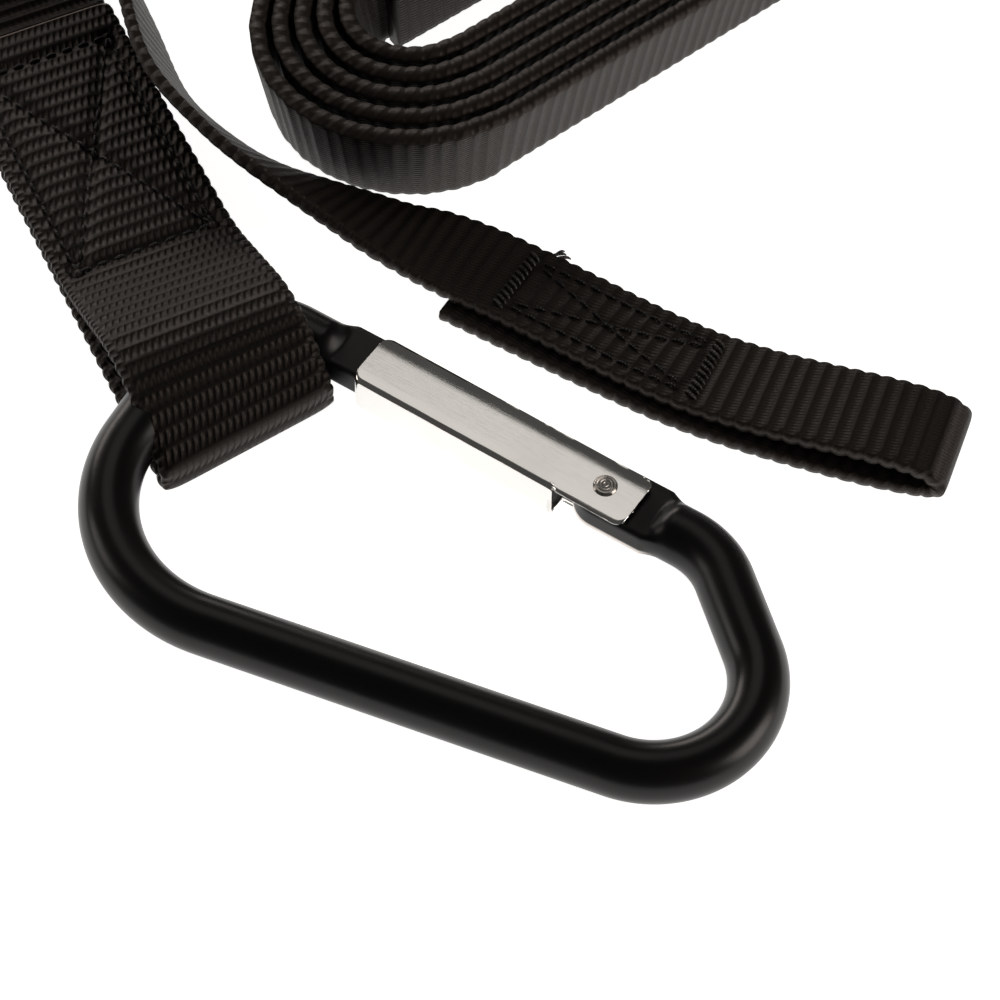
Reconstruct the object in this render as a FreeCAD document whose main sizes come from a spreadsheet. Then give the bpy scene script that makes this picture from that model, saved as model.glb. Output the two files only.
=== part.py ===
"""Hanging strap set: webbing sling with a spring-gate carabiner, and a rolled tie strap."""
import FreeCAD, Part
import math
import os
import Sketcher

V = FreeCAD.Vector
Z = V(0, 0, 1)

doc = FreeCAD.newDocument("strap_set")
sheet = doc.addObject("Spreadsheet::Sheet", "Sizes")
CELLS = (
    # webbing
    ("sling_width", 25.0), ("sling_thickness", 1.85), ("layer_gap", 0.1),
    ("tie_width", 13.0), ("tie_thickness", 2.0),
    # sling, measured along it from the carabiner's bar
    ("sling_bearing", -43.2), ("fold_reach", 14.5), ("stitch_start", -23.7), ("tail_end", -70.0),
    ("box_length", 40.0), ("box_width", 20.0), ("loop_height", 13.0), ("thread_width", 0.8),
    ("upper_box_start", -92.0), ("upper_box_length", 16.0), ("upper_loop_end", -140.0),
    ("upper_loop_height", 16.5),
    # carabiner, in its own plane with the spine on the x axis
    ("rod_diameter", 7.6), ("spine_left", -55.0), ("spine_right", 48.0),
    ("nose_corner_x", -50.75), ("nose_corner_y", 48.6), ("hinge_corner_x", 22.4),
    ("hinge_corner_y", 33.6), ("basket_radius", 22.0), ("nose_radius", 10.0),
    ("hinge_radius", 12.0), ("heel_radius", 13.4),
    ("carabiner_x", 48.4), ("carabiner_y", -37.8), ("carabiner_z", 4.78), ("carabiner_tilt", 1.5),
    # gate, measured along its axis from the rivet
    ("pivot_x", 7.4), ("tongue_thickness", 4.2), ("tongue_outer", 4.4), ("tongue_inner", 3.5),
    ("shoulder_inner", 4.2), ("nose_shoulder", -41.0), ("nose_tip", -30.4), ("hinge_shoulder", 7.4),
    ("bevel_length", 3.0), ("sleeve_nose", -35.9), ("sleeve_heel", 4.7), ("sleeve_width", 8.4),
    ("sheet_thickness", 0.5), ("cheek_gap", 0.15), ("web_end", -5.5), ("cheek_round", 1.3),
    ("rivet_diameter", 2.4), ("rivet_clearance", 0.05), ("rivet_head", 3.4), ("rivet_dome", 0.7),
    ("spring_diameter", 0.8),
    # tie strap
    ("roll_x", 3.4), ("roll_y", 60.2), ("roll_bearing", 61.0), ("roll_straight", 75.0),
    ("roll_radius", 21.0), ("roll_layers", 6.0), ("roll_pitch", 2.45),
    ("run_rise", 2.2), ("splice_start", 24.0), ("splice_end", 60.5), ("eye_end", 96.5),
    ("eye_gap", 2.0), ("eye_y", 23.7), ("splice_y", 31.3), ("tack_length", 9.6), ("tack_width", 1.8),
)
for row, (alias, number) in enumerate(CELLS, 1):
    sheet.set("A%d" % row, alias)
    sheet.set("B%d" % row, repr(number))
    sheet.setAlias("B%d" % row, alias)
doc.recompute()


def size(alias):
    """The number in the sheet under this alias."""
    return float(sheet.get(alias))


def tied(item, **formulas):
    """Binds properties of an object to the sheet."""
    for name, formula in formulas.items():
        item.setExpression(name, formula)
    return item


def body(label):
    """A new body, with its origin planes ready."""
    made = doc.addObject("PartDesign::Body", label)
    made.Label = label
    return made


def sketch_on(owner, name, role, offset=None):
    """A sketch on one of the body's own origin planes."""
    made = owner.newObject("Sketcher::SketchObject", name)
    plane = [p for p in owner.Origin.OriginFeatures if p.Role == role][0]
    made.AttachmentSupport = [(plane, "")]
    made.MapMode = "FlatFace"
    if offset is not None:
        made.AttachmentOffset = offset
    return made


def polar(angle, length=1.0):
    """The plane vector at this bearing in degrees."""
    turn = math.radians(angle)
    return V(math.cos(turn), math.sin(turn), 0) * length


def rounded_route(corners):
    """Lines (start, end) and arcs (start, middle, end) through corners (x, y, radius)."""
    points = [V(x, y, 0) for x, y, _ in corners]
    pieces, start = [], points[0]
    for before, here, after, corner in zip(points, points[1:], points[2:], corners[1:]):
        into = (here - before).normalize()
        out = (after - here).normalize()
        half = into.getAngle(out) / 2
        first = here - into * (corner[2] * math.tan(half))
        last = here + out * (corner[2] * math.tan(half))
        inward = (out - into).normalize()
        middle = here + inward * (corner[2] / math.cos(half) - corner[2])
        pieces.append((start, first))
        pieces.append((first, middle, last))
        start = last
    pieces.append((start, points[-1]))
    return pieces


def arc_of(piece):
    """The centre and radius of an arc piece, and whether it turns to the left."""
    circle = Part.ArcOfCircle(*piece)
    turn = (piece[1] - piece[0]).cross(piece[2] - piece[1]).z
    return circle.Center, circle.Radius, turn > 0


def beside(piece, shift):
    """A piece of a route moved sideways, to its left if shift is positive."""
    if len(piece) == 2:
        side = Z.cross((piece[1] - piece[0]).normalize()) * shift
        return tuple(p + side for p in piece)
    centre, radius, leftward = arc_of(piece)
    moved = radius - shift if leftward else radius + shift
    return tuple(centre + (p - centre) * (moved / radius) for p in piece)


def curve_of(piece):
    """The curve of a piece, always anticlockwise, and the numbers of its first and last ends."""
    if len(piece) == 2:
        return Part.LineSegment(*piece), (1, 2)
    centre, radius, leftward = arc_of(piece)
    first, last = (piece[0], piece[-1]) if leftward else (piece[-1], piece[0])
    begin, finish = (math.atan2(p.y - centre.y, p.x - centre.x) for p in (first, last))
    if finish < begin:
        finish += 2 * math.pi
    curve = Part.ArcOfCircle(Part.Circle(centre, Z, radius), begin, finish)
    return curve, (1, 2) if leftward else (2, 1)


def add_chain(sketch, pieces, closed=False):
    """Adds joined lines and arcs to a sketch and returns their numbers."""
    numbers, ends = [], []
    for piece in pieces:
        curve, order = curve_of(piece)
        numbers.append(sketch.addGeometry(curve, False))
        ends.append(order)
    for i in range(0 if closed else 1, len(pieces)):
        sketch.addConstraint(Sketcher.Constraint(
            "Coincident", numbers[i - 1], ends[i - 1][1], numbers[i], ends[i][0]))
    return numbers


def bind(sketch, constraint, formula):
    """Adds a sketch dimension that follows a cell."""
    number = sketch.addConstraint(constraint)
    sketch.setExpression("Constraints[%d]" % number, formula)


def draw_route(sketch, corners, radius_cells):
    """An open route whose arcs have their radii from the sheet."""
    numbers = add_chain(sketch, rounded_route(corners))
    for number, cell in zip(numbers[1::2], radius_cells):
        radius = sketch.Geometry[number].Radius
        bind(sketch, Sketcher.Constraint("Radius", number, radius), "Sizes." + cell)


def draw_band(sketch, corners, thickness_cell):
    """The outline of a strap seen edge on along a route; its cut end is as thick as the cell."""
    route = rounded_route(corners)
    half = size(thickness_cell) / 2
    left = [beside(p, half) for p in route]
    right = [beside(p, -half)[::-1] for p in reversed(route)]
    outline = left + [(left[-1][-1], right[0][0])] + right + [(right[-1][-1], left[0][0])]
    numbers = add_chain(sketch, outline, closed=True)
    bind(sketch, Sketcher.Constraint("Distance", numbers[-1], 2 * half), "Sizes." + thickness_cell)


def pad(owner, sketch, formula, midplane=False, reverse=False):
    """A pad whose length follows a formula of the sheet."""
    made = owner.newObject("PartDesign::Pad", sketch.Name + "Pad")
    made.Profile = sketch
    made.Midplane = midplane
    made.Reversed = reverse
    made.setExpression("Length", formula)
    sketch.Visibility = False
    return made


def draw_box(sketch, x0, y0, x1, y1, x_cells=None, y_cells=None):
    """A rectangle; its width and height can follow formulas of the sheet."""
    corners = [V(x0, y0, 0), V(x1, y0, 0), V(x1, y1, 0), V(x0, y1, 0)]
    numbers = add_chain(sketch, list(zip(corners, corners[1:] + corners[:1])), closed=True)
    if x_cells:
        bind(sketch, Sketcher.Constraint("Distance", numbers[0], abs(x1 - x0)), x_cells)
    if y_cells:
        bind(sketch, Sketcher.Constraint("Distance", numbers[1], abs(y1 - y0)), y_cells)
    return numbers


# Where the sling, the carabiner and the gate lie.
SLING = FreeCAD.Placement(V(), FreeCAD.Rotation(Z, size("sling_bearing")))
CARABINER = FreeCAD.Placement(
    V(size("carabiner_x"), size("carabiner_y"), size("carabiner_z")),
    FreeCAD.Rotation(V(0, 1, 0), size("carabiner_tilt")))
GATE_SLOPE = math.degrees(math.atan2(
    size("hinge_corner_y") - size("nose_corner_y"), size("hinge_corner_x") - size("nose_corner_x")))
PIVOT = V(size("pivot_x"), size("nose_corner_y")
          + math.tan(math.radians(GATE_SLOPE)) * (size("pivot_x") - size("nose_corner_x")), 0)
GATE = CARABINER * FreeCAD.Placement(PIVOT, FreeCAD.Rotation(Z, GATE_SLOPE))
ON_GATE = FreeCAD.Placement(PIVOT, FreeCAD.Rotation(Z, GATE_SLOPE))


def on_gate(x, y):
    """A point of the carabiner's plane, given along and across the gate from the rivet."""
    return ON_GATE.multVec(V(x, y, 0))


def sling_webbing():
    """One webbing strap folded back at both ends: a loop round the bar, and an upper loop."""
    made = body("sling_webbing")
    low = size("sling_thickness") / 2
    upper = low + size("sling_thickness") + size("layer_gap")
    reach = size("fold_reach")
    top = size("loop_height") - low
    eye = size("upper_loop_height")
    box = size("upper_box_start")
    end = size("upper_loop_end")
    corners = (
        (size("tail_end"), upper, 0),
        (size("stitch_start"), upper, 12),
        (size("stitch_start") + 15, top, 6),
        (reach - 3.0, top, 2.6),
        (reach - low, top - 4.5, 3),
        (reach - low, low, 2.4),
        (end + low, low, 5),
        (end + low, eye, 7),
        (box - size("upper_box_length") - 6, eye, 7),
        (box - size("upper_box_length"), upper, 6),
        (box + 4, upper, 0),
    )
    profile = sketch_on(made, "SlingProfile", "XZ_Plane")
    draw_band(profile, corners, "sling_thickness")
    pad(made, profile, "Sizes.sling_width", midplane=True)
    made.Placement = SLING
    return made


def stitch_frame(label, start_cell, length_cell):
    """A sewn rectangle, its thread rows going through both layers of the sling."""
    made = body(label)
    half = size("box_width") / 2
    start = size(start_cell)
    end = start - size(length_cell)
    thread = size("thread_width")
    outline = sketch_on(made, label + "_outline", "XY_Plane", FreeCAD.Placement(
        V(0, 0, size("sling_thickness") - 0.6), FreeCAD.Rotation()))
    draw_box(outline, end, -half, start, half, "Sizes." + length_cell, "Sizes.box_width")
    draw_box(outline, end + thread, -half + thread, start - thread, half - thread)
    pad(made, outline, "Sizes.sling_thickness + Sizes.layer_gap + 0.8")
    made.Placement = SLING
    return made


def stitch_cross(label, start_cell, length_cell):
    """The two diagonal thread rows inside a sewn rectangle."""
    made = body(label)
    thread = size("thread_width")
    half = size("box_width") / 2 - thread
    start = size(start_cell) - thread
    end = size(start_cell) - size(length_cell) + thread
    base = FreeCAD.Placement(V(0, 0, size("sling_thickness") - 0.6), FreeCAD.Rotation())
    for name, low, high in (("rising", -half, half), ("falling", half, -half)):
        line = sketch_on(made, label + "_" + name, "XY_Plane", base)
        trim = 0.7 * (1 if high > low else -1)
        draw_band(line, ((end + 0.7, low + trim, 0), (start - 0.7, high - trim, 0)), "thread_width")
        pad(made, line, "Sizes.sling_thickness + Sizes.layer_gap + 0.8")
    made.Placement = SLING
    return made


def across_gate(x):
    """The plane across the gate's axis at this distance from the rivet, on the YZ plane."""
    centre = on_gate(x, 0)
    return FreeCAD.Placement(V(centre.y, 0, centre.x), FreeCAD.Rotation(V(0, 1, 0), GATE_SLOPE))


def add_bevel(owner, name, x_round, x_flat):
    """The shoulder where the round rod turns into a flat tongue."""
    radius = size("rod_diameter") / 2
    rim = sketch_on(owner, name + "Round", "YZ_Plane", across_gate(x_round))
    points = [polar(45 * k, radius) for k in range(1, 9)]
    corners = points[::2]
    arcs = [(a, m, b) for a, m, b in zip(corners, points[1::2], corners[1:] + corners[:1])]
    add_chain(rim, arcs, closed=True)
    flat = sketch_on(owner, name + "Flat", "YZ_Plane", across_gate(x_flat))
    half = size("tongue_thickness") / 2
    inner, outer = -size("shoulder_inner"), size("tongue_outer")
    box = [V(outer, half, 0), V(inner, half, 0), V(inner, -half, 0), V(outer, -half, 0)]
    add_chain(flat, list(zip(box, box[1:] + box[:1])), closed=True)
    doc.recompute()
    loft = owner.newObject("PartDesign::AdditiveLoft", name + "Shoulder")
    loft.Profile = rim
    loft.Sections = [flat]
    loft.Ruled = True
    doc.recompute()


def add_tongue(owner, name, outline):
    """A flat tongue, its outline given along and across the gate."""
    face = sketch_on(owner, name, "XY_Plane")
    add_chain(face, [tuple(on_gate(x, y) for x, y in piece) for piece in outline], closed=True)
    pad(owner, face, "Sizes.tongue_thickness", midplane=True)
    doc.recompute()


def carabiner_body():
    """A round rod bent to a lopsided D, its ends pressed to flat tongues at the gate."""
    made = body("carabiner_body")
    round_bar = sketch_on(made, "RodSection", "YZ_Plane")
    circle = round_bar.addGeometry(Part.Circle(V(), Z, size("rod_diameter") / 2), False)
    round_bar.addConstraint(Sketcher.Constraint("Coincident", circle, 3, -1, 1))
    bind(round_bar, Sketcher.Constraint("Diameter", circle, size("rod_diameter")),
         "Sizes.rod_diameter")
    nose_round = size("nose_shoulder") - size("bevel_length")
    heel_round = size("hinge_shoulder") + size("bevel_length")
    nose, heel = on_gate(nose_round, 0), on_gate(heel_round, 0)
    nose_corner = (size("nose_corner_x"), size("nose_corner_y"), size("nose_radius"))
    hinge_corner = (size("hinge_corner_x"), size("hinge_corner_y"), size("hinge_radius"))
    sides = (
        ("Nose", ((0, 0, 0), (size("spine_left"), 0, size("basket_radius")), nose_corner,
                  (nose.x, nose.y, 0)), ("basket_radius", "nose_radius")),
        ("Hinge", ((0, 0, 0), (size("spine_right"), 0, size("heel_radius")), hinge_corner,
                   (heel.x, heel.y, 0)), ("heel_radius", "hinge_radius")),
    )
    for name, corners, cells in sides:
        spine = sketch_on(made, name + "Path", "XY_Plane")
        draw_route(spine, corners, cells)
        doc.recompute()
        pipe = made.newObject("PartDesign::AdditivePipe", name + "Side")
        pipe.Profile = round_bar
        pipe.Spine = spine
        doc.recompute()
    outer, inner, under = size("tongue_outer"), size("tongue_inner"), size("shoulder_inner")
    flat, tip, step = size("nose_shoulder"), size("nose_tip"), size("sleeve_nose") - 0.4
    nose_outline = [(flat, -under), (step, -under), (step + 0.8, -inner), (tip - 1, -inner),
                    (tip, -inner + 1), (tip, outer - 1), (tip - 1, outer), (flat, outer)]
    add_bevel(made, "NoseBevel", nose_round, flat)
    add_tongue(made, "NoseTongue", list(zip(nose_outline, nose_outline[1:] + nose_outline[:1])))
    end = size("hinge_shoulder")
    add_bevel(made, "HingeBevel", heel_round, end)
    add_tongue(made, "HingeTongue", (
        ((end, -under), (0, -under)),
        ((0, -under), (-(outer + under) / 2, (outer - under) / 2), (0, outer)),
        ((0, outer), (end, outer)),
        ((end, outer), (end, -under)),
    ))
    bore = sketch_on(made, "RivetBore", "XY_Plane")
    hole = bore.addGeometry(Part.Circle(
        on_gate(0, 0), Z, size("rivet_diameter") / 2 + size("rivet_clearance")), False)
    bind(bore, Sketcher.Constraint("Radius", hole, bore.Geometry[hole].Radius),
         "Sizes.rivet_diameter / 2 + Sizes.rivet_clearance")
    cut = made.newObject("PartDesign::Pocket", "RivetHole")
    cut.Profile = bore
    cut.Midplane = True
    cut.setExpression("Length", "Sizes.tongue_thickness * 3")
    doc.recompute()
    made.Placement = CARABINER
    return made


def gate_sleeve():
    """A folded sheet gate: two cheeks over the tongues, and a web on the inner side."""
    made = body("gate_sleeve")
    nose, heel, half = size("sleeve_nose"), size("sleeve_heel"), size("sleeve_width") / 2
    turn = size("cheek_round")
    outline = sketch_on(made, "CheekOutline", "XY_Plane")
    middle = (nose + heel) / 2
    corners = ((middle, -half, 0), (heel, -half, turn), (heel, half, turn), (nose, half, turn),
               (nose, -half, turn), (middle, -half, 0))
    numbers = add_chain(outline, rounded_route(corners), closed=True)
    for number in numbers[1::2]:
        bind(outline, Sketcher.Constraint("Radius", number, turn), "Sizes.cheek_round")
    pad(made, outline, "Sizes.tongue_thickness + 2 * Sizes.cheek_gap + 2 * Sizes.sheet_thickness",
        midplane=True)
    doc.recompute()
    inside = sketch_on(made, "SleeveInside", "XY_Plane")
    web, end = -half + size("sheet_thickness"), size("web_end")
    points = [V(x, y, 0) for x, y in (
        (nose - 5, web), (end, web), (end, web - 5), (heel + 5, web - 5), (heel + 5, half + 5),
        (nose - 5, half + 5))]
    add_chain(inside, list(zip(points, points[1:] + points[:1])), closed=True)
    hollow = made.newObject("PartDesign::Pocket", "SleeveHollow")
    hollow.Profile = inside
    hollow.Midplane = True
    hollow.setExpression("Length", "Sizes.tongue_thickness + 2 * Sizes.cheek_gap")
    doc.recompute()
    bore = sketch_on(made, "CheekBore", "XY_Plane")
    hole = bore.addGeometry(Part.Circle(V(), Z, size("rivet_diameter") / 2), False)
    bind(bore, Sketcher.Constraint("Diameter", hole, size("rivet_diameter")),
         "Sizes.rivet_diameter")
    cut = made.newObject("PartDesign::Pocket", "CheekHole")
    cut.Profile = bore
    cut.Midplane = True
    cut.setExpression("Length", "Sizes.tongue_thickness * 3")
    doc.recompute()
    made.Placement = GATE
    return made


def gate_rivet():
    """A shank with a domed head on each cheek."""
    made = body("gate_rivet")
    shank, head = size("rivet_diameter") / 2, size("rivet_head") / 2
    cheek = size("tongue_thickness") / 2 + size("cheek_gap") + size("sheet_thickness")
    top = cheek + size("rivet_dome")
    rim = cheek + 0.15
    dome = (head ** 2 + (top - rim) ** 2) / (2 * (top - rim))
    half_angle = math.asin(head / dome) / 2
    bend = V(dome * math.sin(half_angle), top - dome + dome * math.cos(half_angle), 0)
    upper = [(V(shank, cheek, 0), V(head, cheek, 0)), (V(head, cheek, 0), V(head, rim, 0)),
             (V(head, rim, 0), bend, V(0, top, 0))]
    lower = [tuple(V(p.x, -p.y, 0) for p in piece[::-1]) for piece in reversed(upper)]
    half = sketch_on(made, "RivetHalf", "XZ_Plane")
    axis = [(V(0, top, 0), V(0, -top, 0))]
    side = [(V(shank, -cheek, 0), V(shank, cheek, 0))]
    add_chain(half, axis + lower + side + upper, closed=True)
    turned = made.newObject("PartDesign::Revolution", "RivetTurned")
    turned.Profile = half
    turned.ReferenceAxis = (half, ["V_Axis"])
    turned.Angle = 360
    made.Placement = GATE
    return made


def gate_spring():
    """The wire anchored in the hinge tongue, its free end against the inside of the web."""
    made = doc.addObject("Part::Cylinder", "gate_spring")
    made.Label = "gate_spring"
    anchor, free = V(-2.8, -0.9, 0), V(-21.0, -3.05, 0)
    tied(made, Radius="Sizes.spring_diameter / 2")
    made.Height = (free - anchor).Length
    lie = FreeCAD.Rotation(Z, free - anchor)
    made.Placement = GATE * FreeCAD.Placement(anchor, lie)
    return made


def tie_strap_run():
    """The tie strap on edge: off the roll, round the sling's upper end and through its loop."""
    made = body("tie_strap_run")
    far = V(size("roll_x"), size("roll_y"), 0) + polar(size("roll_bearing"), size("roll_straight"))
    lap = size("roll_radius") + size("tie_thickness") / 2 + 0.3
    begin = far + polar(60, lap) + polar(-30, 2)
    lift_off = far + polar(81, lap / math.cos(math.radians(21)))
    corners = (
        (begin.x, begin.y, 0), (lift_off.x, lift_off.y, lap),
        (-124.0, 113.6, 22), (-124.0, 53.4, 14), (-77.6, 102.9, 14), (-47.0, 67.3, 0),
    )
    outline = sketch_on(made, "RunOutline", "XY_Plane", FreeCAD.Placement(
        V(0, 0, size("run_rise")), FreeCAD.Rotation()))
    draw_band(outline, corners, "tie_thickness")
    pad(made, outline, "Sizes.tie_width")
    return made


# Centre of the strap, its bearing and how far it leans over, from on edge to lying flat.
TWIST = (
    (-47.0, 67.3, 8.7, -49.0, 0), (-37.4, 56.1, 6.7, -53.0, 15), (-25.8, 42.8, 6.4, -36.0, 25),
    (-14.0, 36.2, 6.1, -23.0, 33), (-6.4, 33.7, 5.8, -13.0, 41), (1.1, 32.7, 5.1, -7.0, 52),
    (8.1, 31.9, 4.4, -7.0, 63), (13.5, 31.3, 3.9, -6.0, 72), (19.6, 31.2, 3.2, -5.0, 84),
    (23.9, 31.2, 3.15, -8.0, 90),
)


def tie_strap_twist():
    """The length over which the tie strap turns from standing on edge to lying flat."""
    sections = []
    for x, y, z, bearing, lean in TWIST:
        along = polar(bearing)
        side = Z.cross(along)
        turn = FreeCAD.Rotation(along, lean)
        wide = turn.multVec(Z) * (size("tie_width") / 2)
        thick = turn.multVec(side) * (size("tie_thickness") / 2)
        centre = V(x, y, z)
        ring = [centre + wide + thick, centre + wide - thick,
                centre - wide - thick, centre - wide + thick]
        sections.append(Part.makePolygon(ring + ring[:1]))
    made = doc.addObject("Part::Feature", "tie_strap_twist")
    made.Label = "tie_strap_twist"
    made.Shape = Part.makeLoft(sections, True, True)
    return made


def splice_frame():
    """Where the sewn end lies: x along it from its cut tail."""
    start = V(size("splice_start"), size("splice_y"), 0)
    end = V(size("splice_end"), size("eye_y"), 0)
    angle = math.degrees(math.atan2(end.y - start.y, end.x - start.x))
    return FreeCAD.Placement(start, FreeCAD.Rotation(Z, angle)), (end - start).Length


def tie_strap_end():
    """The folded end of the tie strap: two layers sewn together, and the open eye."""
    place, length = splice_frame()
    layer, gap = size("tie_thickness"), size("layer_gap")
    splice = body("splice")
    outline = sketch_on(splice, "SpliceSide", "XZ_Plane")
    draw_box(outline, 0, 0, length, 2 * layer + gap, None,
             "2 * Sizes.tie_thickness + Sizes.layer_gap")
    pad(splice, outline, "Sizes.tie_width", midplane=True)
    splice.Placement = place
    eye = body("eye")
    joint, end = size("splice_end") - 1.2, size("eye_end") - layer / 2
    low, sewn, high = layer / 2, layer * 1.5 + gap, layer * 1.5 + size("eye_gap")
    side = sketch_on(eye, "EyeSide", "XZ_Plane")
    draw_band(side, ((joint, low, 0), (end, low, 1.7), (end, high, 1.7), (joint + 9, high, 12),
                     (joint + 3, sewn, 5), (joint, sewn, 0)), "tie_thickness")
    pad(eye, side, "Sizes.tie_width", midplane=True)
    eye.Placement = FreeCAD.Placement(V(0, size("eye_y"), 0), FreeCAD.Rotation())
    made = doc.addObject("Part::Fuse", "tie_strap_end")
    made.Label = "tie_strap_end"
    made.Base = splice
    made.Tool = eye
    return made


def tie_strap_roll():
    """The rest of the tie strap, wound on edge into a long flat-sided roll."""
    made = body("tie_strap_roll")
    outline = sketch_on(made, "RollOutline", "XY_Plane")
    turns = size("roll_layers") * size("roll_pitch")
    straight = size("roll_straight")
    for name, radius in (("outer", size("roll_radius")), ("inner", size("roll_radius") - turns)):
        pieces = (
            (V(0, -radius, 0), V(straight, -radius, 0)),
            (V(straight, -radius, 0), V(straight + radius, 0, 0), V(straight, radius, 0)),
            (V(straight, radius, 0), V(0, radius, 0)),
            (V(0, radius, 0), V(-radius, 0, 0), V(0, -radius, 0)),
        )
        numbers = add_chain(outline, pieces, closed=True)
        if name == "outer":
            bind(outline, Sketcher.Constraint("Radius", numbers[1], radius), "Sizes.roll_radius")
    pad(made, outline, "Sizes.tie_width")
    made.Placement = FreeCAD.Placement(
        V(size("roll_x"), size("roll_y"), 0), FreeCAD.Rotation(Z, size("roll_bearing")))
    return made


def splice_threads(label, rows):
    """Thread rows (x, y, x, y, width cell) through the sewn end of the tie strap."""
    made = body(label)
    base = FreeCAD.Placement(V(0, 0, 0.5), FreeCAD.Rotation())
    for number, (x0, y0, x1, y1, cell) in enumerate(rows):
        line = sketch_on(made, "%s_%d" % (label, number), "XY_Plane", base)
        draw_band(line, ((x0, y0, 0), (x1, y1, 0)), cell)
        pad(made, line, "2 * Sizes.tie_thickness + Sizes.layer_gap - 0.3")
    made.Placement = splice_frame()[0]
    return made


def splice_stitching():
    """Two bar tacks across the end, a row along each edge, and a cross between them."""
    half = size("tack_length") / 2
    first, second = 8.0, splice_frame()[1] - 0.9
    inner = half - 0.6
    tacks = [(x, -half, x, half, "tack_width") for x in (first, second)]
    ends = first + 2.0, second - 2.0
    sides = [(ends[0], y, ends[1], y, "thread_width") for y in (inner, -inner)]
    cross = [(ends[0] + 1, y, ends[1] - 1, -y, "thread_width") for y in (inner - 1.4, 1.4 - inner)]
    return (splice_threads("end_bar_tacks", tacks), splice_threads("end_side_stitches", sides),
            splice_threads("end_cross_stitch", cross))


pieces = [
    sling_webbing(),
    stitch_frame("sling_box_stitch", "stitch_start", "box_length"),
    stitch_cross("sling_cross_stitch", "stitch_start", "box_length"),
    stitch_frame("upper_box_stitch", "upper_box_start", "upper_box_length"),
    carabiner_body(), gate_sleeve(), gate_rivet(), gate_spring(),
    tie_strap_run(), tie_strap_twist(), tie_strap_end(), tie_strap_roll(),
]
pieces += splice_stitching()
doc.recompute()

for item in doc.Objects:
    if "Invalid" in item.State or "Error" in item.State:
        raise RuntimeError("%s did not recompute: %s" % (item.Name, item.State))
for piece in pieces:
    if piece.Shape.isNull() or not piece.Shape.isValid():
        raise RuntimeError(piece.Label + " has no valid shape")
os.makedirs("parts", exist_ok=True)
print("rivet axis at", GATE.Base, "along", GATE.Rotation.multVec(Z))
for piece in pieces:
    piece.Shape.exportStep(os.path.join("parts", piece.Label + ".step"))
    box = piece.Shape.BoundBox
    print("%-20s %3d solid(s) %9.1f mm3  x %.1f..%.1f y %.1f..%.1f z %.2f..%.2f" % (
        piece.Label, len(piece.Shape.Solids), piece.Shape.Volume, box.XMin, box.XMax,
        box.YMin, box.YMax, box.ZMin, box.ZMax))
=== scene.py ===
"""Looks for the strap set: webbing sling, carabiner and rolled tie strap."""
import math
import bpy
import numpy as np
from mathutils import Matrix, Vector


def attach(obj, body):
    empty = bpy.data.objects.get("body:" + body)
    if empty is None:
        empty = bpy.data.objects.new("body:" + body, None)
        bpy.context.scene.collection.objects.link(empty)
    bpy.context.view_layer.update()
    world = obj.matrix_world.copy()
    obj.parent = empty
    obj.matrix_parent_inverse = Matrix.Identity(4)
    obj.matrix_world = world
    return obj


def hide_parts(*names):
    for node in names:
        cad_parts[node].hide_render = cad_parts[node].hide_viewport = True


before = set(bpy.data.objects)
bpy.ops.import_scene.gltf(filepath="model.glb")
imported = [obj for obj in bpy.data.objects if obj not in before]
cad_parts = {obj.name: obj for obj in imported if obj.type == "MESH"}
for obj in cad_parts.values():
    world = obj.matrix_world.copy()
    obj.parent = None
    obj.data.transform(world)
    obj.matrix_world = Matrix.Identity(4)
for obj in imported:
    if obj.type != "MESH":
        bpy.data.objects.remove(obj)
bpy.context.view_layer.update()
MM = 0.001
UP = np.array([0.0, 0.0, 1.0])


# ---------------------------------------------------------------- camera, floor and light

CAMERA_AT = (0.1177, -0.2018, 0.3031)
CAMERA_AIM = (0.0421, -0.00347, 0.0)
CAMERA_LENS = 102.5


def add_camera():
    """The camera, at the angle from which the set is seen."""
    data = bpy.data.cameras.new("camera")
    data.sensor_width = 36.0
    data.lens = CAMERA_LENS
    data.clip_start = 0.01
    made = bpy.data.objects.new("camera", data)
    bpy.context.scene.collection.objects.link(made)
    made.location = CAMERA_AT
    made.rotation_mode = "QUATERNION"
    made.rotation_quaternion = (Vector(CAMERA_AIM) - Vector(CAMERA_AT)).to_track_quat("-Z", "Y")
    bpy.context.scene.camera = made


def add_floor():
    """A plain white table, a little self-lit so that it stays pale under the straps."""
    mesh = bpy.data.meshes.new("floor")
    reach = 3.0
    mesh.from_pydata([(-reach, -reach, 0), (reach, -reach, 0), (reach, reach, 0),
                      (-reach, reach, 0)], [], [(0, 1, 2, 3)])
    made = bpy.data.objects.new("floor", mesh)
    bpy.context.scene.collection.objects.link(made)
    made.location.z = -0.0001
    paint = bpy.data.materials.new("floor")
    paint.use_nodes = True
    shader = paint.node_tree.nodes["Principled BSDF"]
    shader.inputs["Base Color"].default_value = (0.9, 0.9, 0.89, 1)
    shader.inputs["Roughness"].default_value = 0.9
    shader.inputs["Emission Color"].default_value = (1, 0.995, 0.985, 1)
    shader.inputs["Emission Strength"].default_value = 0.97
    mesh.materials.append(paint)


def add_light(name, location, size, power, colour=(1, 1, 1)):
    """A square soft box aimed at the set."""
    data = bpy.data.lights.new(name, "AREA")
    data.shape = "RECTANGLE"
    data.size, data.size_y = size
    data.energy = power
    data.color = colour
    made = bpy.data.objects.new(name, data)
    bpy.context.scene.collection.objects.link(made)
    made.location = location
    aim = Vector((0.03, 0.02, 0)) - Vector(location)
    made.rotation_mode = "QUATERNION"
    made.rotation_quaternion = aim.to_track_quat("-Z", "Y")


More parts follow.
